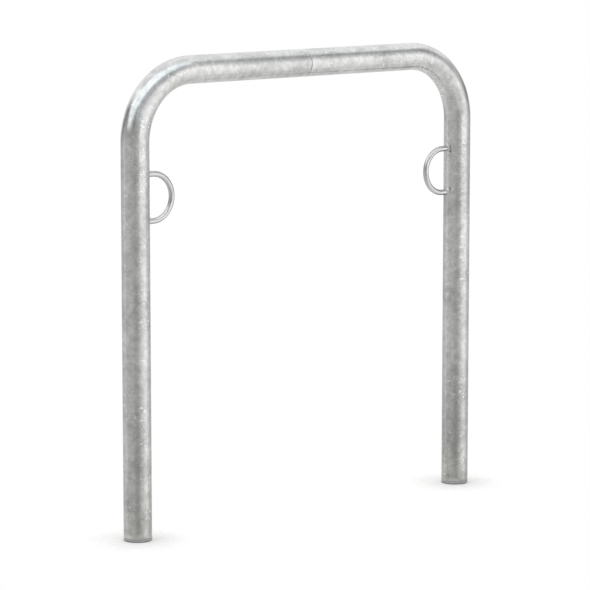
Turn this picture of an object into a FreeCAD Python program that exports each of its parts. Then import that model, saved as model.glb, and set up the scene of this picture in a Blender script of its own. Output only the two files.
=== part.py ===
import FreeCAD, Part
import math
import os

# Hoop bike rack of galvanised steel tube, to be set in the ground. Two bent halves meet in the middle
# of the top bar over an inner sleeve. A half ring of round bar for a lock or chain is welded to the
# inner side of each post, and a ribbed plug closes each post's foot.
# Millimetres, +Z up, X along the hoop, Y across it. The origin is on the ground midway between the posts.

# Hoop
POST_SPACING = 924.0            # between the axes of the two posts
HOOP_HEIGHT = 1020.0            # from the ground to the top of the bar
TUBE_DIAMETER = 60.3
TUBE_WALL = 2.9
BEND_RADIUS = 146.0             # of the tube's axis, in both corners
FOOT_CHAMFER = 0.5              # on the sawn lower end of each post

# Joint in the middle of the top bar
ROOT_GAP = 1.0                  # between the two halves
ROOT_FACE = 1.9                 # square part of each end, from the bore outwards
BEVEL_ANGLE = 30.0              # of the rest of each end, in degrees
SEAM_DEPTH = 0.55               # from the tube's surface down to the edge of the weld
WELD_CROWN = 0.25               # rise of the weld's middle over its edges
SLEEVE_LENGTH = 110.0
SLEEVE_WALL = 2.6
SLEEVE_CLEARANCE = 0.1          # all round, inside the tube
SLEEVE_CHAMFER = 1.2

# Locking rings
RING_BAR_DIAMETER = 12.0
RING_BEND_RADIUS = 49.7         # of the bar's axis
RING_LEG = 16.5                 # straight stretch from the post's face to the bend
RING_DROP = 117.35              # from the lower end of the bend down to the rings' middle
RING_WELD_LEG = 3.6             # of the bead round each end of the bar

# Foot plugs
PLUG_HEAD = 6.0                 # thickness under the tube's end
PLUG_HEAD_CHAMFER = 1.0         # on the edge that meets the ground
PLUG_SEAM_CHAMFER = 0.5         # on the edge that meets the tube
PLUG_STEM = 30.0                # length inside the tube
PLUG_STEM_CLEARANCE = 1.5       # between the stem and the bore, bridged by the fins
PLUG_STEM_WALL = 2.2
PLUG_STEM_CHAMFER = 0.8
PLUG_FIN_CLEARANCE = 0.05       # between the fins' tips and the bore
PLUG_FIN_TIP = 0.7              # thickness of a fin at its tip
PLUG_FIN_ROOT = 1.8             # thickness of a fin at the stem
PLUG_FINS = 4
PLUG_WEB = 2.0                  # thickness of the cross inside the hollow stem

TUBE_RADIUS = TUBE_DIAMETER / 2
BORE_RADIUS = TUBE_RADIUS - TUBE_WALL
POST_X = POST_SPACING / 2
BAR_HEIGHT = HOOP_HEIGHT - TUBE_RADIUS
BEND_HEIGHT = BAR_HEIGHT - BEND_RADIUS
RING_HEIGHT = BEND_HEIGHT - RING_DROP
RING_BAR_RADIUS = RING_BAR_DIAMETER / 2
SLEEVE_RADIUS = BORE_RADIUS - SLEEVE_CLEARANCE
CUT_MARGIN = 1.0                # by which a cutting shape stands out of the metal
SAME_PLACE = 0.01               # two distances closer than this are taken as one

ORIGIN = FreeCAD.Vector(0, 0, 0)
ALONG = FreeCAD.Vector(1, 0, 0)
UP = FreeCAD.Vector(0, 0, 1)


def point(x, z):
    """A point in the plane of the hoop."""
    return FreeCAD.Vector(x, 0, z)


def arc(centre, radius, start_angle, end_angle):
    """An edge round a centre in the hoop's plane, from one angle to the other by way of their middle.

    Angles are in degrees from +X towards +Z.
    """
    angles = (start_angle, (start_angle + end_angle) / 2, end_angle)
    on_arc = []
    for angle in angles:
        turn = math.radians(angle)
        on_arc.append(centre + point(radius * math.cos(turn), radius * math.sin(turn)))
    return Part.Arc(*on_arc).toShape()


def rod(path_edges, radius):
    """A round solid along a path in the hoop's plane, square at both ends."""
    path = Part.Wire(path_edges)
    first = path_edges[0]
    start = first.valueAt(first.FirstParameter)
    direction = first.tangentAt(first.FirstParameter)
    section = Part.Wire([Part.makeCircle(radius, start, direction)])
    return path.makePipe(Part.Face(section))


def turned(outline, axis_point, axis):
    """A solid of revolution from the corners of its closed outline."""
    profile = Part.Face(Part.makePolygon(outline + outline[:1]))
    return profile.revolve(axis_point, axis, 360)


def mirrored(shape):
    """The same shape on the other side of the hoop's middle."""
    return shape.mirror(ORIGIN, ALONG)


def half_hoop_path():
    """The tube's axis from the left foot to the joint, as line, quarter circle and line."""
    bend_centre = point(BEND_RADIUS - POST_X, BEND_HEIGHT)
    foot = point(-POST_X, PLUG_HEAD)
    bend_start = point(-POST_X, BEND_HEIGHT)
    bend_end = point(bend_centre.x, BAR_HEIGHT)
    joint = point(-ROOT_GAP / 2, BAR_HEIGHT)
    return [
        Part.makeLine(foot, bend_start),
        arc(bend_centre, BEND_RADIUS, 180, 90),
        Part.makeLine(bend_end, joint),
    ]


def bevel_reach(radius):
    """How far the bevelled end of a half stands from the joint's middle at a distance from the axis."""
    root_radius = BORE_RADIUS + ROOT_FACE
    return ROOT_GAP / 2 + max(radius - root_radius, 0) * math.tan(math.radians(BEVEL_ANGLE))


def joint_point(x, radius):
    """A point of a profile that turns round the top bar's axis."""
    return point(x, BAR_HEIGHT + radius)


def left_half_hoop():
    """A bent tube with a chamfered foot and a bevelled upper end."""
    path = half_hoop_path()
    tube = rod(path, TUBE_RADIUS).cut(rod(path, BORE_RADIUS))
    above = TUBE_RADIUS + CUT_MARGIN
    bevel = turned(
        [
            joint_point(-ROOT_GAP / 2, BORE_RADIUS + ROOT_FACE),
            joint_point(-bevel_reach(above), above),
            joint_point(0, above),
            joint_point(0, BORE_RADIUS + ROOT_FACE),
        ],
        point(0, BAR_HEIGHT),
        ALONG,
    )
    outside = TUBE_RADIUS + FOOT_CHAMFER
    foot_chamfer = turned(
        [
            point(-POST_X - TUBE_RADIUS + FOOT_CHAMFER, PLUG_HEAD),
            point(-POST_X - outside, PLUG_HEAD),
            point(-POST_X - outside, PLUG_HEAD + 2 * FOOT_CHAMFER),
        ],
        point(-POST_X, 0),
        UP,
    )
    return tube.cut(bevel).cut(foot_chamfer)


def joint_weld():
    """The weld that fills the groove between the halves from the sleeve to just under their surface."""
    edge_radius = TUBE_RADIUS - SEAM_DEPTH
    root_radius = BORE_RADIUS + ROOT_FACE
    edge_reach = bevel_reach(edge_radius)
    corners = [
        joint_point(edge_reach, edge_radius),
        joint_point(ROOT_GAP / 2, root_radius),
        joint_point(ROOT_GAP / 2, SLEEVE_RADIUS),
        joint_point(-ROOT_GAP / 2, SLEEVE_RADIUS),
        joint_point(-ROOT_GAP / 2, root_radius),
        joint_point(-edge_reach, edge_radius),
    ]
    sides = [Part.makeLine(corners[i], corners[i + 1]) for i in range(len(corners) - 1)]
    crown = Part.Arc(corners[-1], joint_point(0, edge_radius + WELD_CROWN), corners[0]).toShape()
    return Part.Face(Part.Wire(sides + [crown])).revolve(point(0, BAR_HEIGHT), ALONG, 360)


def joint_sleeve():
    """A short tube inside both halves, with chamfered ends."""
    end = SLEEVE_LENGTH / 2
    inner_radius = SLEEVE_RADIUS - SLEEVE_WALL
    return turned(
        [
            joint_point(-end, inner_radius),
            joint_point(-end, SLEEVE_RADIUS - SLEEVE_CHAMFER),
            joint_point(-end + SLEEVE_CHAMFER, SLEEVE_RADIUS),
            joint_point(end - SLEEVE_CHAMFER, SLEEVE_RADIUS),
            joint_point(end, SLEEVE_RADIUS - SLEEVE_CHAMFER),
            joint_point(end, inner_radius),
        ],
        point(0, BAR_HEIGHT),
        ALONG,
    )


def left_post_core():
    """The left post as a full round, over the height that the locking ring needs."""
    reach = RING_BEND_RADIUS + RING_BAR_DIAMETER + 2 * RING_WELD_LEG
    return Part.makeCylinder(TUBE_RADIUS, 2 * reach, point(-POST_X, RING_HEIGHT - reach), UP)


def left_locking_ring():
    """A bar bent to a half ring on two short legs, its ends coped to the round of the post."""
    face_x = -POST_X + TUBE_RADIUS
    inside_x = face_x - RING_BAR_RADIUS
    bend_x = face_x + RING_LEG
    upper = RING_HEIGHT + RING_BEND_RADIUS
    lower = RING_HEIGHT - RING_BEND_RADIUS
    path = [
        Part.makeLine(point(inside_x, upper), point(bend_x, upper)),
        arc(point(bend_x, RING_HEIGHT), RING_BEND_RADIUS, 90, -90),
        Part.makeLine(point(bend_x, lower), point(inside_x, lower)),
    ]
    return rod(path, RING_BAR_RADIUS).cut(left_post_core())


def on_both_surfaces(edge, height):
    """Whether an edge is part of the line where a leg of the ring meets the post."""
    middle = edge.valueAt((edge.FirstParameter + edge.LastParameter) / 2)
    from_post = math.hypot(middle.x + POST_X, middle.y)
    from_leg = math.hypot(middle.y, middle.z - height)
    on_post = abs(from_post - TUBE_RADIUS) < SAME_PLACE
    on_leg = abs(from_leg - RING_BAR_RADIUS) < SAME_PLACE
    return on_post and on_leg


def left_ring_weld(height):
    """The bead that runs round one leg of the left ring, hollowed between the leg and the post."""
    leg = Part.makeCylinder(RING_BAR_RADIUS, TUBE_RADIUS + RING_LEG, point(-POST_X, height), ALONG)
    unwelded = left_post_core().fuse(leg)
    corner = [edge for edge in unwelded.Edges if on_both_surfaces(edge, height)]
    return unwelded.makeFillet(RING_WELD_LEG, corner).cut(unwelded)


def left_foot_plug():
    """A plug with a head as wide as the tube, and a hollow stem with fins that grip the bore."""
    stem_radius = BORE_RADIUS - PLUG_STEM_CLEARANCE
    hollow_radius = stem_radius - PLUG_STEM_WALL
    tip_radius = BORE_RADIUS - PLUG_FIN_CLEARANCE
    top = PLUG_HEAD + PLUG_STEM
    outline = [
        (0, 0),
        (TUBE_RADIUS - PLUG_HEAD_CHAMFER, 0),
        (TUBE_RADIUS, PLUG_HEAD_CHAMFER),
        (TUBE_RADIUS, PLUG_HEAD - PLUG_SEAM_CHAMFER),
        (TUBE_RADIUS - PLUG_SEAM_CHAMFER, PLUG_HEAD),
        (stem_radius, PLUG_HEAD),
    ]
    pitch = PLUG_STEM / (PLUG_FINS + 1)
    for fin in range(1, PLUG_FINS + 1):
        root = PLUG_HEAD + fin * pitch
        outline += [
            (stem_radius, root - PLUG_FIN_ROOT / 2),
            (tip_radius, root - PLUG_FIN_TIP / 2),
            (tip_radius, root + PLUG_FIN_TIP / 2),
            (stem_radius, root + PLUG_FIN_ROOT / 2),
        ]
    outline += [
        (stem_radius, top - PLUG_STEM_CHAMFER),
        (stem_radius - PLUG_STEM_CHAMFER, top),
        (hollow_radius, top),
        (hollow_radius, PLUG_HEAD),
        (0, PLUG_HEAD),
    ]
    corners = [point(-POST_X + radius, height) for radius, height in outline]
    plug = turned(corners, point(-POST_X, 0), UP)
    hollow = Part.makeCylinder(hollow_radius, PLUG_STEM, point(-POST_X, PLUG_HEAD), UP)
    webs = []
    for size_x, size_y in ((2 * hollow_radius, PLUG_WEB), (PLUG_WEB, 2 * hollow_radius)):
        corner = FreeCAD.Vector(-POST_X - size_x / 2, -size_y / 2, PLUG_HEAD)
        webs.append(Part.makeBox(size_x, size_y, PLUG_STEM, corner))
    cross = webs[0].fuse(webs[1]).common(hollow)
    return plug.fuse(cross).removeSplitter()


def pieces():
    """Every piece by name. The right side mirrors the left."""
    left = {
        "half_hoop": left_half_hoop(),
        "locking_ring": left_locking_ring(),
        "ring_upper_weld": left_ring_weld(RING_HEIGHT + RING_BEND_RADIUS),
        "ring_lower_weld": left_ring_weld(RING_HEIGHT - RING_BEND_RADIUS),
        "foot_plug": left_foot_plug(),
    }
    whole = {"joint_sleeve": joint_sleeve(), "joint_weld": joint_weld()}
    for name, shape in left.items():
        whole["left_" + name] = shape
        whole["right_" + name] = mirrored(shape)
    return whole


def main():
    os.makedirs("parts", exist_ok=True)
    for name, shape in pieces().items():
        solid = shape.Solids[0] if len(shape.Solids) == 1 else shape
        print(f"{name}: {len(shape.Solids)} solid, {solid.Volume / 1000:.2f} cm3, valid {solid.isValid()}")
        solid.exportStep(f"parts/{name}.step")


main()
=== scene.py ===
"""Looks of a hoop bike rack of galvanised tube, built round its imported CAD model.

Metres, +Z up, X along the hoop, Y across it. The origin is on the ground midway between the posts.
"""

import logging
import math
from abc import ABC, abstractmethod
from contextlib import contextmanager
from dataclasses import dataclass, replace
from enum import Enum
from typing import Callable, Iterator, Optional, Sequence, Union

import bmesh
import bpy
from mathutils import Matrix, Vector


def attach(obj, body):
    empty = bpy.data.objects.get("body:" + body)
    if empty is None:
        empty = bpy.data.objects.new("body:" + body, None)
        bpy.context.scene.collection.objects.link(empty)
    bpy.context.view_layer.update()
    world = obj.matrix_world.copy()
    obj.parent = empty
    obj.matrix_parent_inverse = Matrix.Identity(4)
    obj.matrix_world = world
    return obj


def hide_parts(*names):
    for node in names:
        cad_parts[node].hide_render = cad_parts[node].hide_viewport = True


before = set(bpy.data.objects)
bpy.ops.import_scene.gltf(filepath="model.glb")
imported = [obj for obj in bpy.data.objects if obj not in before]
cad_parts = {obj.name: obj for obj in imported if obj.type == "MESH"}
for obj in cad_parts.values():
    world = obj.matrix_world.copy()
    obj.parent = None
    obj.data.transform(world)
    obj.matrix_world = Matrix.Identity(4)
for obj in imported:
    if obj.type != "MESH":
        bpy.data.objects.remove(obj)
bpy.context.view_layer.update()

LOG = logging.getLogger("hoop")
RUN = "run"  # attribute: the place on a bent piece as if it were straight
RUN_APART = 2.0  # how far each side's place there is moved, so that the sides differ
TOUCH = 1e-4  # what is nearer than this to a face is on it
MERGE = 2e-5  # vertices nearer than this to each other are one
ZERO = Vector((0.0, 0.0, 0.0))
ALONG = Vector((1.0, 0.0, 0.0))
ACROSS = Vector((0.0, 1.0, 0.0))
UP = Vector((0.0, 0.0, 1.0))
WHITE = (1.0, 1.0, 1.0, 1.0)

Pair = tuple[float, float]
Triple = tuple[float, float, float]
Colour = Triple
Piece = bpy.types.Object
Socket = bpy.types.NodeSocket
Value = Union[float, int, Sequence[float], Socket]


class Half(Enum):
    """One of two alike, by the sign of its place."""

    @property
    def label(self) -> str:
        """Its name as it stands in a node's name."""
        return self.name.lower()


class Side(Half):
    """Which half of the hoop a piece belongs to, by the sign of X."""

    LEFT = -1
    RIGHT = 1


class Leg(Half):
    """One of a half ring's two ends, by the sign of its height over the ring's middle."""

    UPPER = 1
    LOWER = -1


class Slot(Enum):
    """The record's material slots."""

    TUBE = "galvanised_tube"
    BAR = "galvanised_bar"
    WELD = "galvanised_weld"
    SLEEVE = "sleeve_steel"
    PLUG = "foot_plastic"


# Modelling by operators


def deselect_all() -> None:
    """Leaves no object selected."""
    bpy.ops.object.select_all(action="DESELECT")


def make_active(piece: Piece) -> None:
    """Selects one object alone and makes it the active one.

    Args:
        piece: the object.
    """
    deselect_all()
    piece.select_set(True)
    bpy.context.view_layer.objects.active = piece


@contextmanager
def editing(piece: Piece) -> Iterator[None]:
    """Holds a piece in edit mode, with all of it selected at first.

    Args:
        piece: the mesh object to edit.
    """
    make_active(piece)
    bpy.ops.object.mode_set(mode="EDIT")
    bpy.ops.mesh.select_all(action="SELECT")
    try:
        yield
    finally:
        bpy.ops.object.mode_set(mode="OBJECT")


def settle(name: str) -> Piece:
    """Names the newly added primitive and puts its place and turn into its mesh.

    Args:
        name: the new object's name.

    Returns:
        The primitive's object, at the origin.
    """
    piece = bpy.context.object
    piece.name = name
    piece.data.name = name
    bpy.ops.object.transform_apply(location=True, rotation=True, scale=True)
    return piece


def round_edge(
    name: str,
    centre: Vector,
    radius: float,
    sides: int,
    turn: Triple = (0.0, 0.0, 0.0),
    filled: bool = False,
) -> Piece:
    """A ring of edges, the start of a turned or drawn piece.

    Args:
        name: the piece's name.
        centre: the ring's centre.
        radius: its radius.
        sides: how many edges it has.
        turn: the object's rotation, from a ring that lies flat.
        filled: whether a face fills the ring.

    Returns:
        The new piece.
    """
    deselect_all()
    fill = "NGON" if filled else "NOTHING"
    bpy.ops.mesh.primitive_circle_add(
        vertices=sides, radius=radius, fill_type=fill, location=centre, rotation=turn
    )
    return settle(name)


def push(offset: Vector, steps: int = 1) -> None:
    """Extrudes what is selected by an offset, in equal steps."""
    for _ in range(steps):
        bpy.ops.mesh.extrude_region_move(TRANSFORM_OT_translate={"value": offset / steps})


def open_out(centre: Vector, factor: float, axis: Vector) -> None:
    """Scales what is selected about an axis.

    Args:
        centre: a point of the axis.
        factor: the scale across the axis.
        axis: the axis, along X, Y or Z, on which nothing changes.
    """
    scale = [1.0 if abs(part) > 0.5 else factor for part in axis]
    bpy.ops.transform.resize(value=scale, center_override=centre)


def turn_round(centre: Vector, axis: Vector, angle: float, steps: int) -> None:
    """Extrudes what is selected round an axis.

    Args:
        centre: a point of the axis.
        axis: the axis's direction.
        angle: in radians, clockwise as seen along the axis.
        steps: how many steps the turn takes.
    """
    bpy.ops.mesh.spin(steps=steps, dupli=False, angle=-angle, center=centre, axis=axis)


def pick(piece: Piece, wanted: Callable[[Vector], bool]) -> None:
    """Selects a piece's vertices by their place, in edit mode.

    Args:
        piece: the piece in edit mode.
        wanted: tells from a vertex's place whether it is selected.
    """
    bpy.ops.mesh.select_mode(type="VERT")
    mesh = bmesh.from_edit_mesh(piece.data)
    for vertex in mesh.verts:
        vertex.select = wanted(vertex.co)
    mesh.select_flush_mode()
    bmesh.update_edit_mesh(piece.data)


def close_up(piece: Piece) -> None:
    """Merges a piece's doubled vertices and turns its faces outwards.

    Args:
        piece: the piece, in object mode.
    """
    with editing(piece):
        bpy.ops.mesh.remove_doubles(threshold=MERGE)
        bpy.ops.mesh.normals_make_consistent(inside=False)


def reshape(piece: Piece, moved: Callable[[Vector], Vector]) -> None:
    """Moves every vertex of a piece.

    Args:
        piece: the piece, in object mode.
        moved: gives a vertex's new place from its old one.
    """
    for vertex in piece.data.vertices:
        vertex.co = moved(vertex.co.copy())
    piece.data.update()


def turned(name: str, centre: Vector, outline: Sequence[Pair], steps: int) -> Piece:
    """Turns an outline once round an axis along X. The ring that it starts from takes the outline's shape.

    Args:
        name: the piece's name.
        centre: a point of the axis.
        outline: the outline's corners in order, as places along the axis and distances from it.
        steps: how many steps the turn takes.

    Returns:
        The closed piece.
    """
    piece = round_edge(name, centre, 1.0, len(outline), (math.pi / 2, 0.0, 0.0))
    for vertex, (along, distance) in zip(piece.data.vertices, outline):
        vertex.co = centre + ALONG * along + UP * distance
    with editing(piece):
        turn_round(centre, ALONG, 2 * math.pi, steps)
    close_up(piece)
    return piece


def both_sides(left: Piece, twin_name: str) -> Iterator[tuple[Piece, Side]]:
    """A piece of the hoop's left half and its mirrored copy on the right.

    Args:
        left: the piece on the left.
        twin_name: the copy's name.

    Returns:
        Each of the two, with its side.
    """
    make_active(left)
    bpy.ops.object.duplicate(linked=False)
    twin = bpy.context.object
    twin.name = twin_name
    twin.data.name = twin_name
    with editing(twin):
        bpy.ops.transform.resize(value=(-1.0, 1.0, 1.0), center_override=ZERO)
        bpy.ops.mesh.normals_make_consistent(inside=False)
    yield left, Side.LEFT
    yield twin, Side.RIGHT


@dataclass(frozen=True)
class BentLine:
    """A straight line, an arc and another straight line in the hoop's plane: the axis of a bent piece."""

    start: Vector
    heading: Vector  # of the first straight stretch, as its length
    inward: Vector  # the direction from that stretch to the arc's centre
    length: float
    radius: float
    angle: float  # how far the arc turns, in radians

    @property
    def centre(self) -> Vector:
        """The arc's centre."""
        return self.start + self.heading * self.length + self.inward * self.radius

    def straightened(self, place: Vector) -> Pair:
        """Where a point would be if the line were straight.

        Args:
            place: a point near the line.

        Returns:
            Its distance along the line, and its distance from the line towards the arc's inside.
        """
        arm = place - self.centre
        turn = math.atan2(arm.dot(self.heading), -arm.dot(self.inward)) % (2 * math.pi)
        if turn <= self.angle:
            flat = Vector((arm.x, 0.0, arm.z))
            return self.length + self.radius * turn, self.radius - flat.length
        if turn > math.pi + self.angle / 2:
            return self.length + arm.dot(self.heading), self.radius + arm.dot(self.inward)
        onward = self.heading * math.cos(self.angle) + self.inward * math.sin(self.angle)
        outward = self.heading * math.sin(self.angle) - self.inward * math.cos(self.angle)
        beyond = self.length + self.radius * self.angle
        return beyond + arm.dot(onward), self.radius - arm.dot(outward)


def mark_run(piece: Piece, line: BentLine, side: Side, start: float) -> None:
    """Writes each vertex's straightened place to the piece, for patterns that follow the bend.

    Args:
        piece: the finished piece.
        line: its axis on the left side of the hoop.
        side: the side that the piece is on.
        start: what the distance along the line starts from, before the side's own shift.
    """
    attribute = piece.data.attributes.new(RUN, "FLOAT_VECTOR", "POINT")
    begin = start + RUN_APART * side.value
    for vertex, entry in zip(piece.data.vertices, attribute.data):
        on_left = Vector((-abs(vertex.co.x), vertex.co.y, vertex.co.z))
        far, inside = line.straightened(on_left)
        entry.vector = (-side.value * inside, vertex.co.y, begin + far)


# Materials


class Graph:
    """A node tree as it is wired up."""

    def __init__(self, tree: bpy.types.NodeTree) -> None:
        """Empties the tree that it fills."""
        self.tree = tree
        tree.nodes.clear()

    def node(self, kind: str, settings: Optional[dict] = None, **inputs: Value) -> bpy.types.Node:
        """Adds a node.

        Args:
            kind: the node's type.
            settings: its properties, by name.
            **inputs: its inputs, by name with _ for a space, as a value or as the socket that feeds it.

        Returns:
            The node.
        """
        made = self.tree.nodes.new(kind)
        for name, value in (settings or {}).items():
            setattr(made, name, value)
        for name, value in inputs.items():
            self.feed(made.inputs[name.replace("_", " ")], value)
        return made

    def feed(self, target: Socket, value: Value) -> None:
        """Sets an input to a value, or links it to a socket.

        Args:
            target: the input.
            value: the value or the socket.
        """
        if isinstance(value, Socket):
            self.tree.links.new(value, target)
        else:
            target.default_value = value

    def math(self, operation: str, *values: Value) -> Socket:
        """The result of a sum on numbers.

        Args:
            operation: the Math node's operation.
            *values: its inputs in order.

        Returns:
            The result.
        """
        made = self.node("ShaderNodeMath", {"operation": operation})
        for target, value in zip(made.inputs, values):
            self.feed(target, value)
        return made.outputs[0]

    def vector(self, operation: str, *values: Value) -> Socket:
        """The result of a sum on vectors.

        Args:
            operation: the Vector Math node's operation.
            *values: its inputs in order.

        Returns:
            The result.
        """
        made = self.node("ShaderNodeVectorMath", {"operation": operation})
        targets = (made.inputs[0], made.inputs["Scale"]) if operation == "SCALE" else made.inputs
        for target, value in zip(targets, values):
            self.feed(target, value)
        return made.outputs["Value" if operation in ("DOT_PRODUCT", "LENGTH") else "Vector"]

    def ramp(
        self, value: Value, low: float, high: float, at_low: float, at_high: float, soft: bool = True
    ) -> Socket:
        """A number carried from one range to another and held at its ends.

        Args:
            value: what is carried over.
            low: where the first range starts.
            high: where it ends.
            at_low: the result at its start.
            at_high: the result at its end.
            soft: whether the ramp eases in and out.

        Returns:
            The result.
        """
        kind = {"interpolation_type": "SMOOTHSTEP" if soft else "LINEAR"}
        ends = {"From_Min": low, "From_Max": high, "To_Min": at_low, "To_Max": at_high}
        return self.node("ShaderNodeMapRange", kind, Value=value, **ends).outputs["Result"]

    def blend(self, factor: Value, first: Value, second: Value) -> Socket:
        """One colour mixed into another.

        Args:
            factor: 0 for the first colour, 1 for the second.
            first: a colour.
            second: a colour.

        Returns:
            The mix.
        """
        made = self.node("ShaderNodeMix", {"data_type": "RGBA"})
        self.feed(made.inputs[0], factor)
        self.feed(made.inputs[6], first)
        self.feed(made.inputs[7], second)
        return made.outputs[2]

    def on_piece(self) -> Socket:
        """The place in the piece's own coordinates."""
        return self.node("ShaderNodeTexCoord").outputs["Object"]

    def parts(self, place: Value) -> Sequence[Socket]:
        """A place's X, Y and Z."""
        return self.node("ShaderNodeSeparateXYZ", Vector=place).outputs

    def on_bend(self) -> Socket:
        """The place on a bent piece as if it were straight."""
        return self.node("ShaderNodeAttribute", {"attribute_name": RUN}).outputs["Vector"]

    def noise(self, place: Value, size: float, detail: float = 2.0, rough: float = 0.5) -> Socket:
        """Cloudy noise about 0.5.

        Args:
            place: the coordinates.
            size: the width of its clouds, in metres.
            detail: how many finer layers it has.
            rough: how strong they are.

        Returns:
            The noise.
        """
        clouds = {"Scale": 1.0 / size, "Detail": detail, "Roughness": rough}
        return self.node("ShaderNodeTexNoise", Vector=place, **clouds).outputs[0]

    def frayed(self, place: Value, reach: float, density: float) -> Socket:
        """Coordinates that noise shifts to and fro, which gives what lies on them ragged edges.

        Args:
            place: the coordinates.
            reach: how far they are shifted at most, in metres.
            density: how often the shift changes in a metre.

        Returns:
            The shifted coordinates.
        """
        shift = self.node("ShaderNodeTexNoise", Vector=place, Scale=density, Detail=2.0).outputs[1]
        return self.vector("MULTIPLY_ADD", shift, (reach,) * 3, place)

    def cells(self, place: Value, size: float, flat: bool = False) -> Sequence[Socket]:
        """A pattern of cells.

        Args:
            place: the coordinates.
            size: the cells' width, in metres.
            flat: whether only X and Y count.

        Returns:
            The distance to the nearest cell's middle, and three numbers from 0 to 1 that differ by cell.
        """
        sides = {"voronoi_dimensions": "2D" if flat else "3D"}
        made = self.node("ShaderNodeTexVoronoi", sides, Vector=place, Scale=1.0 / size)
        chances = self.node("ShaderNodeSeparateColor", Color=made.outputs["Color"]).outputs
        return made.outputs["Distance"], *chances

    def total(self, *values: Value) -> Socket:
        """The sum of several numbers.

        Args:
            *values: the numbers.

        Returns:
            The sum.
        """
        result = values[0]
        for value in values[1:]:
            result = self.math("ADD", result, value)
        return result

    def times(self, value: Value, factor: Value) -> Socket:
        """The product of two numbers."""
        return self.math("MULTIPLY", value, factor)

    def swing(self, value: Value, amount: float) -> Socket:
        """A number from 0 to 1 turned into one from minus the amount to the amount."""
        return self.math("MULTIPLY_ADD", value, 2.0 * amount, -amount)

    def surface(self, colour: Value, rough: Value, relief: Value, metallic: float = 0.0) -> bpy.types.Node:
        """Wires up a material's shader and its output.

        Args:
            colour: the base colour.
            rough: the roughness.
            relief: the height of its bumps, in metres.
            metallic: how much of it is metal.

        Returns:
            The shader, for what is the same all over.
        """
        bump = self.node("ShaderNodeBump", Strength=1.0, Distance=1.0, Height=relief)
        look = {"Base_Color": colour, "Roughness": rough, "Metallic": metallic, "Normal": bump.outputs[0]}
        shader = self.node("ShaderNodeBsdfPrincipled", **look)
        self.node("ShaderNodeOutputMaterial", Surface=shader.outputs[0])
        return shader


def new_material(name: str) -> tuple[bpy.types.Material, Graph]:
    """An empty node material.

    Args:
        name: its name.

    Returns:
        The material and its graph.
    """
    material = bpy.data.materials.new(name)
    material.use_nodes = True
    return material, Graph(material.node_tree)


@dataclass(frozen=True)
class Mottle:
    """Uneven light and dark in a coat of zinc."""

    amount: float  # how much its tone differs, as a share
    size: float  # its length along the tube
    drawn: float = 1.0  # how much longer it is round the tube
    fineness: float = 0.6  # how strong its finer layers are
    span: Pair = (0.33, 0.67)  # the noise's darkest and lightest values

    def pattern(self, graph: Graph, place: Socket) -> Socket:
        """Draws the mottle.

        Args:
            graph: the material's graph.
            place: the coordinates, with the tube's axis along Z.

        Returns:
            What runs from -1 to 1.
        """
        squeezed = graph.vector("MULTIPLY", place, (1.0 / self.drawn, 1.0 / self.drawn, 1.0))
        return graph.ramp(graph.noise(squeezed, self.size, rough=self.fineness), *self.span, -1.0, 1.0)


@dataclass(frozen=True)
class Splashes:
    """Small bright splashes of zinc, in some of the cells of a loose pattern on the tube's wall."""

    share: float  # how many of the cells hold one
    drawn: float = 1.0  # how much longer they are round the tube than along it
    shift: Triple = (0.0, 0.0, 0.0)  # keeps two kinds off each other
    cell: float = 0.012
    reach: Pair = (0.08, 0.28)  # the least and the greatest radius, as shares of a cell
    strength: Pair = (0.5, 1.0)  # of the smallest and the largest, before the contrast
    contrast: float = 2.0  # the power that the strength is raised to
    core: float = 0.3  # how much of the radius is at full strength
    fray: Pair = (0.0036, 330.0)  # how ragged the edges are, and how often in a metre

    def pattern(self, graph: Graph, wall: Socket) -> Socket:
        """Draws the splashes.

        Args:
            graph: the material's graph.
            wall: the coordinates on the unrolled wall.

        Returns:
            Up to 1 on a splash and 0 elsewhere.
        """
        ragged = graph.frayed(graph.vector("ADD", wall, self.shift), *self.fray)
        squeezed = graph.vector("MULTIPLY", ragged, (1.0 / self.drawn, 1.0, 1.0))
        distance, chance, size, _ = graph.cells(squeezed, self.cell, flat=True)
        near = graph.math("DIVIDE", distance, graph.ramp(size, 0.0, 1.0, *self.reach, soft=False))
        chosen = graph.math("LESS_THAN", chance, self.share)
        shape = graph.times(graph.ramp(near, self.core, 1.0, 1.0, 0.0), chosen)
        strength = graph.ramp(size, 0.0, 1.0, *self.strength, soft=False)
        return graph.times(shape, graph.math("POWER", strength, self.contrast))


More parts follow.
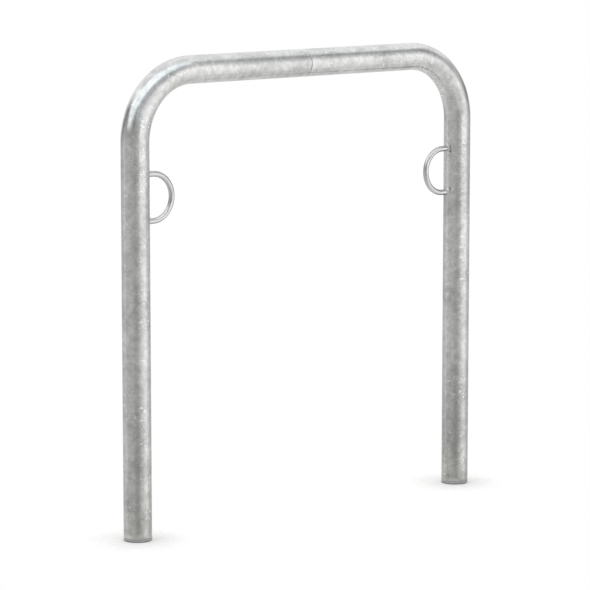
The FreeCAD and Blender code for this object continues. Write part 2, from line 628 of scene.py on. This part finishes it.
@dataclass(frozen=True)
class ZincCoat:
    """Hot-dip zinc on steel, drawn out a little round the tube as it ran off in the bath.

    Differences in tone are shares of it.
    """

    name: str
    tone: Colour
    follows_bend: bool = False  # whether the pattern follows a bent piece
    radius: float = 0.03  # of the tube that it lies on
    bare: float = 0.82  # how much of it shines as bare metal
    dull: float = 0.10  # its roughness where it is plain
    rim: float = 0.8  # how much it still mirrors where it is seen edge on
    patch: Mottle = Mottle(0.10, 0.065, 0.7)
    cloud: Mottle = Mottle(0.085, 0.013)
    cloud_dull: float = -0.02  # how much rougher its light clouds are
    flake: float = 0.05  # how much its crystals differ in tone
    flake_size: float = 0.0065
    flake_fray: Pair = (0.004, 180.0)  # how ragged their edges are, and how often in a metre
    flake_dull: float = 0.03  # how much they differ in roughness
    grain: Mottle = Mottle(0.10, 0.0030, 1.3)
    calm: float = 0.15  # how much grain and ripple is left where the coat ran smooth
    calm_size: float = 0.07
    calm_span: Pair = (0.42, 0.64)  # the noise where it is smoothest and most lively
    splashes: tuple[Splashes, ...] = (Splashes(0.28), Splashes(0.22, 3.0, (0.31, 0.17, 0.0)))
    splash_tone: Colour = (0.93, 0.935, 0.93)
    splash_calm: float = 0.35  # how much of a splash is left where it ran smooth
    splash_dull: float = 0.16  # how much rougher a splash is
    splash_height: float = 0.00020
    wave: float = 0.00035  # the height of its long waves
    wave_size: float = 0.026
    ripple: float = 0.00020  # the height of its short waves
    ripple_size: float = 0.0065
    tooth: float = 0.000015  # the height of its grain
    ground_shade: float = 0.17  # painted shade: how much darker it is near the ground
    ground_shade_height: float = 0.34
    # the painted shade's warmer tint near the ground
    ground_shade_tint: Colour = (1.0, 0.998, 0.975)
    foot_shade: float = 0.15  # painted shade: how much darker still it is just above the foot
    foot_shade_reach: Pair = (0.007, 0.014)  # between which heights that painted shade fades out

    def splashed(self, graph: Graph, place: Socket, lively: Socket) -> Socket:
        """Every kind of splash, drawn on the tube's wall as if it were cut open and flattened.

        Args:
            graph: the material's graph.
            place: the coordinates, with the tube's axis along Z.
            lively: how uneven the coat is, up to 1; splashes are fainter where it ran smooth.

        Returns:
            Up to 1 on a splash and 0 elsewhere.
        """
        aside, across, along = graph.parts(place)
        around = graph.times(graph.math("ARCTAN2", across, aside), self.radius)
        wall = graph.node("ShaderNodeCombineXYZ", X=around, Y=along).outputs[0]
        strongest: Value = 0.0
        for kind in self.splashes:
            strongest = graph.math("MAXIMUM", strongest, kind.pattern(graph, wall))
        return graph.times(strongest, graph.ramp(lively, 0.0, 1.0, self.splash_calm, 1.0))

    def material(self) -> bpy.types.Material:
        """Builds the finish.

        Returns:
            The material.
        """
        made, graph = new_material(self.name)
        place = graph.on_bend() if self.follows_bend else graph.on_piece()
        patch = self.patch.pattern(graph, place)
        cloud = self.cloud.pattern(graph, place)
        lively = graph.ramp(graph.noise(place, self.calm_size), *self.calm_span, self.calm, 1.0)
        grain = graph.times(self.grain.pattern(graph, place), lively)
        waves = graph.noise(place, self.wave_size, detail=1.0)
        ripples = graph.times(graph.noise(place, self.ripple_size, detail=1.5), lively)
        _, flake_tone, flake_dull, _ = graph.cells(graph.frayed(place, *self.flake_fray), self.flake_size)
        splash = self.splashed(graph, place, lively)
        height = graph.parts(graph.on_piece())[2]
        # painted shade: darker and warmer towards the ground
        ground_shade = graph.ramp(height, 0.0, self.ground_shade_height, 1.0, 0.0)
        shade = graph.total(
            1.0,
            # painted shade just above the foot
            graph.ramp(height, *self.foot_shade_reach, -self.foot_shade, 0.0),
            graph.times(ground_shade, -self.ground_shade),
            graph.times(patch, self.patch.amount),
            graph.times(cloud, self.cloud.amount),
            graph.swing(flake_tone, self.flake),
            graph.times(grain, self.grain.amount),
        )
        # the painted shade's warmer tone near the ground
        shaded_tone = tuple(part * tint for part, tint in zip(self.tone, self.ground_shade_tint))
        tone = graph.blend(ground_shade, (*self.tone, 1.0), (*shaded_tone, 1.0))
        colour = graph.blend(splash, graph.vector("SCALE", tone, shade), (*self.splash_tone, 1.0))
        rough = graph.total(
            self.dull,
            graph.swing(flake_dull, self.flake_dull),
            graph.times(cloud, self.cloud_dull),
            graph.times(splash, self.splash_dull),
        )
        relief = graph.total(
            graph.times(waves, self.wave),
            graph.times(ripples, self.ripple),
            graph.times(grain, self.tooth),
            graph.times(splash, self.splash_height),
        )
        shader = graph.surface(colour, rough, relief, self.bare)
        shader.inputs["Specular Tint"].default_value = (self.rim, self.rim, self.rim, 1.0)
        return made


@dataclass(frozen=True)
class MouldedPlastic:
    """Grey polyethylene with the fine grain of its mould."""

    name: str
    tone: Colour
    dull: float = 0.35
    ior: float = 1.5
    cloud: float = 0.16  # how much its clouds differ in tone
    cloud_size: float = 0.02
    cloud_dull: float = 0.10
    grain: float = 0.08
    grain_size: float = 0.0006
    grain_height: float = 0.00002
    contact_shade: float = 0.75  # painted contact shadow: how much darker it is where it meets the ground
    contact_shade_height: float = 0.0035

    def material(self) -> bpy.types.Material:
        """Builds the finish.

        Returns:
            The material.
        """
        made, graph = new_material(self.name)
        place = graph.on_piece()
        cloud = graph.noise(place, self.cloud_size, detail=3.0)
        grain = graph.noise(place, self.grain_size)
        # painted contact shadow where the plug meets the ground
        contact_shade = graph.ramp(graph.parts(place)[2], 0.0, self.contact_shade_height, -self.contact_shade, 0.0)
        shade = graph.total(1.0, contact_shade, graph.swing(cloud, self.cloud), graph.swing(grain, self.grain))
        rough = graph.total(self.dull, graph.swing(cloud, self.cloud_dull))
        relief = graph.times(grain, self.grain_height)
        shader = graph.surface(graph.vector("SCALE", self.tone, shade), rough, relief)
        shader.inputs["IOR"].default_value = self.ior
        return made


@dataclass(frozen=True)
class RolledSteel:
    """Plain rolled steel with a thin dark scale, as inside a closed tube."""

    name: str
    tone: Colour
    dull: float = 0.42
    scratch: float = 0.2  # how much its scratches differ in tone
    scratch_size: float = 0.0009
    scratch_slimness: float = 0.06  # their width as a share of their length along X
    scratch_depth: float = 0.00002
    scale: float = 0.35  # how much its scale differs in tone
    scale_size: float = 0.012
    scale_dull: float = 0.16

    def material(self) -> bpy.types.Material:
        """Builds the finish.

        Returns:
            The material.
        """
        made, graph = new_material(self.name)
        place = graph.on_piece()
        drawn = graph.vector("MULTIPLY", place, (self.scratch_slimness, 1.0, 1.0))
        scratch = graph.noise(drawn, self.scratch_size, detail=3.0)
        scale = graph.noise(place, self.scale_size, detail=4.0, rough=0.6)
        shade = graph.total(1.0, graph.swing(scratch, self.scratch), graph.swing(scale, self.scale))
        rough = graph.total(self.dull, graph.swing(scale, self.scale_dull))
        relief = graph.times(scratch, self.scratch_depth)
        graph.surface(graph.vector("SCALE", self.tone, shade), rough, relief, metallic=1.0)
        return made


# The rack's pieces


@dataclass(frozen=True)
class Finish:
    """A material and the record's slot that it stands for."""

    slot: Slot
    material: bpy.types.Material


def hand_over(piece: Piece, finish: Finish, crease: float, *nodes: str) -> None:
    """Shades and dresses a finished piece and puts it in the place of its CAD nodes.

    Args:
        piece: the finished piece.
        finish: what it is dressed in.
        crease: the angle past which an edge stays crisp.
        *nodes: the CAD nodes that it stands for.
    """
    make_active(piece)
    bpy.ops.object.shade_smooth_by_angle(angle=crease)
    piece.data.materials.append(finish.material)
    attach(piece, "root")
    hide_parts(*nodes)
    piece.data.calc_loop_triangles()
    LOG.info("%s: %d triangles", piece.name, len(piece.data.loop_triangles))


@dataclass(frozen=True)
class TubeSizes:
    """The sizes of the two bent tubes, to which the other pieces are fitted, in metres."""

    post_x: float = 0.462  # from the hoop's middle to a post's axis
    bar_height: float = 0.98985  # of the top bar's axis
    bend_radius: float = 0.146
    radius: float = 0.03015
    wall: float = 0.0029
    foot_height: float = 0.006  # where the tube stands on its plug
    foot_chamfer: float = 0.0005
    root_gap: float = 0.001
    root_face: float = 0.0019  # what is left square of the wall under its bevel
    bevel: float = math.radians(30)

    @property
    def bore(self) -> float:
        """The radius of the tube's inside."""
        return self.radius - self.wall

    @property
    def root(self) -> float:
        """The distance from the tube's axis to where its bevel starts."""
        return self.bore + self.root_face


@dataclass
class SubAssembly(ABC):
    """Some pieces of the rack that are made together."""

    tube: TubeSizes

    @abstractmethod
    def build(self) -> None:
        """Makes the pieces and hands them over."""


@dataclass
class HoopTube(SubAssembly):
    """The two bent tubes. Each is a post, a quarter bend and half of the top bar."""

    zinc: Finish
    sides: int = 96
    post_steps: int = 28
    bend_steps: int = 56
    bar_steps: int = 10
    crease: float = math.radians(28)

    @property
    def axis(self) -> BentLine:
        """The left tube's axis, from the ground up."""
        straight = self.tube.bar_height - self.tube.bend_radius
        return BentLine(ALONG * -self.tube.post_x, UP, ALONG, straight, self.tube.bend_radius, math.pi / 2)

    def left(self) -> Piece:
        """Draws the left tube: up the outside from foot to joint, then back down its bore.

        Returns:
            The closed piece.
        """
        line, sizes = self.axis, self.tube
        chamfered = sizes.radius - sizes.foot_chamfer
        foot = line.start + UP * sizes.foot_height
        post = UP * (line.length - sizes.foot_height - sizes.foot_chamfer)
        bend_end = line.centre + UP * line.radius
        bevel_depth = (sizes.radius - sizes.root) * math.tan(sizes.bevel)
        face = Vector((-sizes.root_gap / 2, 0.0, sizes.bar_height))
        groove = face - ALONG * bevel_depth
        tube = round_edge("left_tube", foot, chamfered, self.sides, (0.0, 0.0, math.pi / self.sides))
        with editing(tube):
            push(UP * sizes.foot_chamfer)
            open_out(foot, sizes.radius / chamfered, UP)
            push(post, self.post_steps)
            turn_round(line.centre, ACROSS, line.angle, self.bend_steps)
            push(groove - bend_end, self.bar_steps)
            push(face - groove)
            open_out(face, sizes.root / sizes.radius, ALONG)
            push(ZERO)
            open_out(face, sizes.bore / sizes.root, ALONG)
            push(bend_end - face)
            turn_round(line.centre, ACROSS, -line.angle, self.bend_steps)
            push(foot - line.start - UP * line.length)
            push(ZERO)
            open_out(foot, chamfered / sizes.bore, UP)
        close_up(tube)
        return tube

    def build(self) -> None:
        """Makes both tubes and hands them over."""
        for piece, side in both_sides(self.left(), "right_tube"):
            mark_run(piece, self.axis, side, start=0.0)
            hand_over(piece, self.zinc, self.crease, f"{side.label}_half_hoop")


@dataclass
class ButtJoint(SubAssembly):
    """The weld between the two tubes, and the sleeve behind it."""

    zinc: Finish
    steel: Finish
    sleeve_clearance: float = 0.0001
    seam_depth: float = 0.00055  # of the weld's edges under the tubes' outside
    crown: float = 0.00025  # how high its middle stands over its edges
    crown_points: int = 7
    ripple: float = 0.00007
    ripples: int = 132
    ripple_reach: float = 0.0009  # how far they run from the weld's middle
    chevron: float = 0.45  # how far they lag there, as a share of a ripple
    steps_per_ripple: int = 5
    crease: float = math.radians(50)

    @property
    def edge(self) -> float:
        """The distance of the weld's edges from the bar's axis."""
        return self.tube.radius - self.seam_depth

    def section(self) -> list[Pair]:
        """The weld's outline as places along the bar and distances from its axis.

        Returns:
            Its corners in order.
        """
        sizes, half = self.tube, self.tube.root_gap / 2
        behind = sizes.bore - self.sleeve_clearance
        reach = half + (self.edge - sizes.root) * math.tan(sizes.bevel)
        corners = [(half, sizes.root), (half, behind), (-half, behind), (-half, sizes.root)]
        for step in range(self.crown_points):
            share = 2.0 * step / (self.crown_points - 1) - 1.0
            corners.append((share * reach, self.edge + self.crown * (1.0 - share * share)))
        return corners

    def rippled(self, place: Vector) -> Vector:
        """Moves a point of the weld's face in by the ripples of the weld pool.

        Args:
            place: the point.

        Returns:
            Its new place.
        """
        arm = Vector((0.0, place.y, place.z - self.tube.bar_height))
        if arm.length < self.edge - TOUCH:
            return place
        around = math.atan2(arm.y, arm.z) / (2 * math.pi) * self.ripples
        aside = (place.x / self.ripple_reach) ** 2
        wave = math.sin(2 * math.pi * (around + self.chevron * aside))
        depth = self.ripple * (wave - 1.0) * (1.0 - min(1.0, aside))
        return place + arm.normalized() * depth

    def build(self) -> None:
        """Makes the weld and dresses the sleeve."""
        steps = self.ripples * self.steps_per_ripple
        weld = turned("groove_weld", UP * self.tube.bar_height, self.section(), steps)
        reshape(weld, self.rippled)
        hand_over(weld, self.zinc, self.crease, "joint_weld")
        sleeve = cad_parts["joint_sleeve"]
        sleeve.material_slots[0].material = self.steel.material
        LOG.info("%s: dressed", sleeve.name)


@dataclass
class LockingRings(SubAssembly):
    """The half ring of round bar on each post's inner side, with a bead round each of its ends."""

    bar: Finish
    zinc: Finish
    height: float = 0.7265  # of a ring's middle
    bend_radius: float = 0.0497
    bar_radius: float = 0.006
    leg: float = 0.0165  # the straight stretch at each end
    leg_steps: int = 3
    bend_steps: int = 72
    sides: int = 48
    end_rings: tuple[float, ...] = (0.66, 0.5, 0.0001)  # each as a share of the one before
    run_start: float = 6.0  # keeps the pattern away from the tubes'
    bead: float = 0.0036  # the fillet's leg
    bead_steps: int = 9  # how many points its face has across
    bead_hollow: float = 0.35  # how far its face falls in, as a share of a round hollow
    bead_sunk: float = 0.0003  # how far it reaches into the bar and the post
    bead_edge: float = 0.02  # how much of its face stays smooth along its edges
    ripple: float = 0.00022
    ripples: int = 26
    ripple_lag: float = 0.55  # at the middle of the face, as a share of a ripple
    ripple_spread: float = 0.6  # under 1 it reaches out from the middle
    slant: float = 0.7  # how much of a ripple goes along the bar, and as much away from it
    steps_per_ripple: int = 6
    bar_crease: float = math.radians(40)
    bead_crease: float = math.radians(50)

    @property
    def face_x(self) -> float:
        """Where the left post's inner side is."""
        return self.tube.radius - self.tube.post_x

    @property
    def axis(self) -> BentLine:
        """The left ring's axis, from its upper end."""
        start = Vector((self.face_x, 0.0, self.height + self.bend_radius))
        return BentLine(start, ALONG, -UP, self.leg, self.bend_radius, math.pi)

    def coped(self, place: Vector) -> Vector:
        """Lays a point that is level with the post's inner side on the round of the post."""
        fall = self.tube.radius - math.sqrt(self.tube.radius**2 - place.y**2)
        return place - ALONG * fall

    def left_ring(self) -> Piece:
        """Bends the left ring and copes its ends to the post.

        Returns:
            The closed piece.
        """
        line = self.axis
        ends = (line.start, line.start - UP * 2 * self.bend_radius)
        turn = (0.0, math.pi / 2, 0.0)
        ring = round_edge("left_lock_ring", line.start, self.bar_radius, self.sides, turn)
        on_end = self.face_x + TOUCH
        with editing(ring):
            push(ALONG * self.leg, self.leg_steps)
            turn_round(line.centre, ACROSS, line.angle, self.bend_steps)
            push(-ALONG * self.leg, self.leg_steps)
            for end in ends:
                pick(ring, lambda co, z=end.z: co.x < on_end and abs(co.z - z) < 2 * self.bar_radius)
                for factor in self.end_rings:
                    push(ZERO)
                    open_out(end, factor, ALONG)
        close_up(ring)
        reshape(ring, lambda co: self.coped(co) if co.x < on_end else co)
        return ring

    def bead_section(self) -> list[Pair]:
        """The bead's outline as distances from the post's side and from the bar's axis.

        Returns:
            Its corners in order.
        """
        inner = self.bar_radius - self.bead_sunk
        outer = self.bar_radius + self.bead
        corners = [(-self.bead_sunk, outer), (-self.bead_sunk, inner), (self.bead, inner)]
        for step in range(self.bead_steps):
            share = step / (self.bead_steps - 1)
            turn = math.pi / 2 * share
            flat = Vector((self.bead * (1 - share), self.bar_radius + self.bead * share))
            hollow = Vector((self.bead * (1 - math.sin(turn)), outer - self.bead * math.cos(turn)))
            corners.append(tuple(flat.lerp(hollow, self.bead_hollow)))
        return corners

    def rippled(self, place: Vector, middle: Vector) -> Vector:
        """Moves a point of the bead's face by the ripples of the weld pool, then lays it on the post.

        Args:
            place: the point.
            middle: where the bar's axis meets the post's side.

        Returns:
            Its new place.
        """
        rise = place.x - middle.x
        arm = place - middle - ALONG * rise
        out = (arm.length - self.bar_radius) / self.bead
        if min(out, rise / self.bead) > self.bead_edge:
            around = math.atan2(arm.y, arm.z) / (2 * math.pi) * self.ripples
            hump = math.sin(math.pi * min(1.0, out))
            wave = math.sin(2 * math.pi * (around + self.ripple_lag * hump)) * 0.5 - 0.5
            drop = self.ripple * wave * hump**self.ripple_spread * self.slant
            place = place + (arm.normalized() + ALONG) * drop
        return self.coped(place)

    def left_bead(self, leg: Leg) -> Piece:
        """Lays the bead round one end of the left ring.

        Args:
            leg: which end.

        Returns:
            The closed piece.
        """
        middle = Vector((self.face_x, 0.0, self.height + leg.value * self.bend_radius))
        steps = self.ripples * self.steps_per_ripple
        bead = turned(f"left_{leg.label}_bead", middle, self.bead_section(), steps)
        reshape(bead, lambda co: self.rippled(co, middle))
        return bead

    def build(self) -> None:
        """Makes both rings and their four beads."""
        for piece, side in both_sides(self.left_ring(), "right_lock_ring"):
            mark_run(piece, self.axis, side, self.run_start)
            hand_over(piece, self.bar, self.bar_crease, f"{side.label}_locking_ring")
        for leg in Leg:
            for piece, side in both_sides(self.left_bead(leg), f"right_{leg.label}_bead"):
                hand_over(piece, self.zinc, self.bead_crease, f"{side.label}_ring_{leg.label}_weld")


@dataclass
class FootPlugs(SubAssembly):
    """The ribbed plug in each post's foot. Its head is as high as the tube stands."""

    plastic: Finish
    head_chamfer: float = 0.001
    stem: float = 0.030
    stem_clearance: float = 0.0015
    stem_wall: float = 0.0022
    stem_chamfer: float = 0.0008
    fins: int = 4
    fin_clearance: float = 0.00005
    fin_tip: float = 0.0007
    fin_root: float = 0.0018
    web: float = 0.002
    web_sunk: float = 0.0004  # how far the cross reaches into the stem's wall
    web_drop: float = 0.0002  # how far it reaches into the head
    web_chamfer: float = 0.0004
    sides: int = 96
    crease: float = math.radians(28)

    @property
    def stem_radius(self) -> float:
        """The stem's outer radius."""
        return self.tube.bore - self.stem_clearance

    @property
    def hollow(self) -> float:
        """The stem's inner radius."""
        return self.stem_radius - self.stem_wall

    def outline(self) -> list[Pair]:
        """The plug's rings from the ground up and down into its hollow.

        Returns:
            Each ring's radius and height.
        """
        radius, stem = self.tube.radius, self.stem_radius
        head, chamfer = self.tube.foot_height, self.tube.foot_chamfer
        tip = self.tube.bore - self.fin_clearance
        top = head + self.stem
        rings = [
            (radius - self.head_chamfer, 0.0),
            (radius, self.head_chamfer),
            (radius, head - chamfer),
            (radius - chamfer, head),
            (stem, head),
        ]
        for fin in range(1, self.fins + 1):
            middle = head + fin * self.stem / (self.fins + 1)
            rings += [
                (stem, middle - self.fin_root / 2),
                (tip, middle - self.fin_tip / 2),
                (tip, middle + self.fin_tip / 2),
                (stem, middle + self.fin_root / 2),
            ]
        rings += [(stem, top - self.stem_chamfer), (stem - self.stem_chamfer, top)]
        rings += [(self.hollow, top), (self.hollow, head)]
        return rings

    def web_bar(self, centre: Vector, turn: float) -> Piece:
        """One bar of the cross inside the hollow stem.

        Args:
            centre: the plug's middle on the ground.
            turn: the bar's direction, in radians from X.

        Returns:
            The bar.
        """
        length = 2 * math.sqrt((self.hollow + self.web_sunk) ** 2 - (self.web / 2) ** 2)
        height = self.stem - self.stem_chamfer
        foot = self.tube.foot_height - self.web_drop
        place = centre + UP * (foot + height / 2)
        size = (length, self.web, height)
        deselect_all()
        bpy.ops.mesh.primitive_cube_add(size=1.0, location=place, rotation=(0.0, 0.0, turn), scale=size)
        bar = settle("plug_web")
        with editing(bar):
            pick(bar, lambda co: co.z > foot + height - TOUCH)
            bpy.ops.mesh.bevel(offset=self.web_chamfer, segments=2)
        return bar

    def left(self) -> Piece:
        """Turns the left plug and sets the cross in its stem.

        Returns:
            The finished piece.
        """
        rings = self.outline()
        centre = ALONG * -self.tube.post_x
        turn = (0.0, 0.0, math.pi / self.sides)
        plug = round_edge("left_tube_plug", centre, rings[0][0], self.sides, turn, filled=True)
        with editing(plug):
            for (radius, height), (next_radius, next_height) in zip(rings, rings[1:]):
                push(UP * (next_height - height))
                open_out(centre, next_radius / radius, UP)
        close_up(plug)
        cross = [self.web_bar(centre, way) for way in (0.0, math.pi / 2)]
        make_active(plug)
        for bar in cross:
            bar.select_set(True)
        bpy.ops.object.join()
        return plug

    def build(self) -> None:
        """Makes both plugs."""
        for piece, side in both_sides(self.left(), "right_tube_plug"):
            hand_over(piece, self.plastic, self.crease, f"{side.label}_foot_plug")


# The studio


@dataclass(frozen=True)
class SoftPanel:
    """A rectangle of the room with soft edges, as it stands round the hoop. Angles are in degrees."""

    azimuth: float  # its middle's direction, from +Y towards +X
    elevation: float  # its middle's height over the horizon
    width: float
    height: float
    edge: float  # how soft its edges are, as a share of its half width and half height
    level: float  # how bright it is, where 1 is white
    tint: Colour = (1.0, 1.0, 1.0)
    tilt: float = 0.0  # how far it leans, clockwise
    ahead: float = 0.02  # the least cosine to its middle at which it is seen

    def mask(self, graph: Graph, direction: Socket) -> Socket:
        """How much of the panel is seen in a direction.

        Args:
            graph: the world's graph.
            direction: the direction looked in.

        Returns:
            1 inside the panel and 0 outside.
        """
        around, lift = math.radians(self.azimuth), math.radians(self.elevation)
        level = math.cos(lift)
        middle = Vector((math.sin(around) * level, math.cos(around) * level, math.sin(lift)))
        right = Vector((math.cos(around), -math.sin(around), 0.0))
        lean = Matrix.Rotation(math.radians(self.tilt), 3, middle)
        cosine = graph.vector("DOT_PRODUCT", direction, tuple(middle))
        seen = graph.math("GREATER_THAN", cosine, self.ahead)
        depth = graph.math("MAXIMUM", cosine, self.ahead)
        for axis, angle in ((right, self.width), (right.cross(middle), self.height)):
            across = graph.vector("DOT_PRODUCT", direction, tuple(lean @ axis))
            offset = graph.math("ABSOLUTE", graph.math("DIVIDE", across, depth))
            half = math.tan(math.radians(angle / 2))
            inside = graph.ramp(offset, half * (1 - self.edge), half * (1 + self.edge), 1.0, 0.0)
            seen = graph.times(seen, inside)
        return seen


@dataclass
class Studio:
    """A plain white studio: the camera, the lights round the room and the floor."""

    tube: TubeSizes
    camera_place: Triple = (-4.3576, -5.0569, 1.4520)
    camera_aim: Triple = (-0.0235, 0.0, 0.4828)
    lens: float = 187.63  # mm
    sensor: float = 36.0  # mm
    sight: float = 100.0  # how far the camera sees
    floor_reach: Pair = (0.055, 0.12)  # from a post's axis to where it fades, and ends
    floor_rest: float = 0.02  # how much further its sheet goes
    floor_sides: int = 96
    floor_tone: Colour = (0.945, 0.917, 0.881)
    low_walls: float = 0.85
    high_walls: float = 0.41
    wall_fade: Pair = (-0.40, 0.20)  # the sines of the elevations between those two
    wall_tint: Colour = (1.0, 1.0, 1.02)
    backdrop: SoftPanel = SoftPanel(35, 19, 70, 39, 0.5, 1.0)  # at least white in a mirrored ray
    panels: tuple[SoftPanel, ...] = (
        # large light over the camera, strip light at its left, pale wall at its right
        SoftPanel(-148, 69, 129.5, 109.5, 0.57, 1.70, (0.95, 1.0, 1.04)),
        SoftPanel(-78.5, 32.5, 21, 37.5, 0.53, 1.33, (0.93, 1.0, 1.06), -22.5),
        SoftPanel(136.5, 7.5, 49, 78, 0.95, 1.26, (1.0, 1.0, 1.02), -16),
        # backdrop: upper part, middle, right end
        SoftPanel(33.5, 41, 102, 40.5, 0.60, 1.20, (1.0, 1.0, 1.03)),
        SoftPanel(34, 19, 70, 39, 0.61, 1.20, (1.0, 1.0, 1.03)),
        SoftPanel(79, 33, 34, 20, 0.9, 1.25, (1.0, 1.0, 1.03)),
        # dark gaps: at the backdrop's left, behind the camera, under the backdrop's right end
        SoftPanel(-30, 16, 27, 19, 0.94, 0.19, (1.0, 1.0, 1.06)),
        SoftPanel(-125, 9, 47, 67, 0.95, 0.12),
        SoftPanel(75, 3.5, 62, 7, 0.85, 0.20),
        # dim wall: right of the large light, between the pale wall and the backdrop
        SoftPanel(-175, 47, 85.5, 56.5, 0.47, 0.58, (1.0, 1.0, 1.06), 2.5),
        SoftPanel(118.5, 42, 23, 81.5, 0.95, 0.39, (1.0, 1.0, 1.03)),
        # ceiling beyond the hoop, dim floor at the camera's left
        SoftPanel(30, 74.5, 83, 28, 0.47, 1.08, (1.0, 1.0, 1.03)),
        SoftPanel(-101.5, -28, 92, 75, 0.87, 0.57),
        # cooler core of the large light, low light at the camera's right
        SoftPanel(-161.5, 67.5, 78, 31.5, 0.55, 1.58, (0.93, 1.0, 1.055), 6),
        SoftPanel(161.5, 1.5, 46, 18.5, 0.49, 1.30, (1.0, 1.0, 1.01)),
        # low down: bright beyond the hoop, a dark line before the camera, a light strip at its left
        SoftPanel(24, -33.5, 51.5, 43.5, 0.16, 0.92),
        SoftPanel(-145.5, -12.5, 42, 6, 0.83, 0.38),
        SoftPanel(-43, -8, 17, 34, 0.9, 0.78),
    )

    def place_camera(self) -> None:
        """Sets up the camera where the photograph was taken from."""
        data = bpy.data.cameras.new("camera")
        data.lens = self.lens
        data.sensor_width = self.sensor
        data.clip_end = self.sight
        camera = bpy.data.objects.new("camera", data)
        bpy.context.scene.collection.objects.link(camera)
        camera.location = self.camera_place
        aim = Vector(self.camera_aim) - Vector(self.camera_place)
        camera.rotation_euler = aim.to_track_quat("-Z", "Y").to_euler()
        bpy.context.scene.camera = camera

    def light_room(self) -> None:
        """Lights the scene by a room with soft panels, behind which the camera sees plain white.

        Mirrored rays see the white backdrop too, over the part of the room where it stands.
        """
        world = bpy.data.worlds.new("studio")
        bpy.context.scene.world = world
        world.use_nodes = True
        graph = Graph(world.node_tree)
        direction = graph.node("ShaderNodeTexCoord").outputs["Generated"]
        shade = graph.ramp(graph.parts(direction)[2], *self.wall_fade, self.low_walls, self.high_walls)
        colour = graph.vector("SCALE", self.wall_tint, shade)
        for panel in self.panels:
            lit = (*(part * panel.level for part in panel.tint), 1.0)
            colour = graph.blend(panel.mask(graph, direction), colour, lit)
        ray = graph.node("ShaderNodeLightPath").outputs
        mirrored = graph.math("MAXIMUM", ray["Is Glossy Ray"], ray["Is Transmission Ray"])
        backed = graph.times(self.backdrop.mask(graph, direction), mirrored)
        colour = graph.blend(backed, colour, graph.vector("MAXIMUM", colour, WHITE[:3]))
        shown = graph.blend(ray["Is Camera Ray"], colour, WHITE)
        light = graph.node("ShaderNodeBackground", Color=shown, Strength=1.0)
        graph.node("ShaderNodeOutputWorld", Surface=light.outputs[0])

    def floor_material(self) -> bpy.types.Material:
        """Pale floor that shows white and keeps the hoop's shadow.

        Returns:
            The material.
        """
        made, graph = new_material("pale_floor")
        pale = graph.node("ShaderNodeBsdfDiffuse", Color=(*self.floor_tone, 1.0))
        clear = graph.node("ShaderNodeBsdfTransparent")
        post = (self.tube.post_x, 0.0, 0.0)
        aside = graph.vector("SUBTRACT", graph.vector("ABSOLUTE", graph.on_piece()), post)
        mixed = graph.node("ShaderNodeMixShader")
        far = graph.ramp(graph.vector("LENGTH", aside), *self.floor_reach, 0.0, 1.0)
        for target, value in zip(mixed.inputs, (far, pale.outputs[0], clear.outputs[0])):
            graph.feed(target, value)
        graph.node("ShaderNodeOutputMaterial", Surface=mixed.outputs[0])
        return made

    def lay_floor(self) -> None:
        """Lays a round floor under the hoop."""
        reach = self.tube.post_x + self.floor_reach[1] + self.floor_rest
        floor = round_edge("floor", ZERO, reach, self.floor_sides, filled=True)
        floor.data.materials.append(self.floor_material())

    def build(self) -> None:
        """Sets up the whole studio."""
        self.place_camera()
        self.light_room()
        self.lay_floor()
        bpy.context.scene.view_settings.view_transform = "Standard"
        LOG.info("studio: %d panels", len(self.panels))


def main() -> None:
    """Builds the studio and every piece of the rack."""
    logging.basicConfig(level=logging.INFO, format="%(name)s: %(message)s")
    tube_zinc = ZincCoat("galvanised_tube", (0.622, 0.62, 0.602), follows_bend=True)
    bar_zinc = ZincCoat(
        "galvanised_bar",
        (0.64, 0.635, 0.62),
        follows_bend=True,
        bare=1.0,
        dull=0.03,
        rim=0.0,
        patch=replace(tube_zinc.patch, amount=0.0),
        cloud=replace(tube_zinc.cloud, amount=0.04),
        flake=0.02,
        grain=replace(tube_zinc.grain, amount=0.02),
        splashes=(),
        wave=0.00005,
        ripple=0.00001,
        tooth=0.0,
    )
    weld_zinc = ZincCoat(
        "galvanised_weld",
        (0.58, 0.575, 0.555),
        dull=0.38,
        patch=replace(tube_zinc.patch, amount=0.0),
        cloud=Mottle(0.12, 0.012),
        splashes=(),
        wave=0.00002,
        wave_size=0.004,
        ripple=0.0,
        tooth=0.0,
    )
    seam_zinc = replace(weld_zinc, name="galvanised_seam", tone=(0.30, 0.30, 0.29), dull=0.4)
    rolled_steel = RolledSteel("sleeve_steel", (0.42, 0.41, 0.40))
    plug_plastic = MouldedPlastic("foot_plastic", (0.36, 0.357, 0.345))
    tube = TubeSizes()
    Studio(tube).build()
    seam = Finish(Slot.WELD, seam_zinc.material())
    sleeve = Finish(Slot.SLEEVE, rolled_steel.material())
    bar = Finish(Slot.BAR, bar_zinc.material())
    beads = Finish(Slot.WELD, weld_zinc.material())
    assemblies: tuple[SubAssembly, ...] = (
        HoopTube(tube, Finish(Slot.TUBE, tube_zinc.material())),
        ButtJoint(tube, seam, sleeve),
        LockingRings(tube, bar, beads),
        FootPlugs(tube, Finish(Slot.PLUG, plug_plastic.material())),
    )
    for assembly in assemblies:
        assembly.build()


if __name__ == "__main__":
    main()
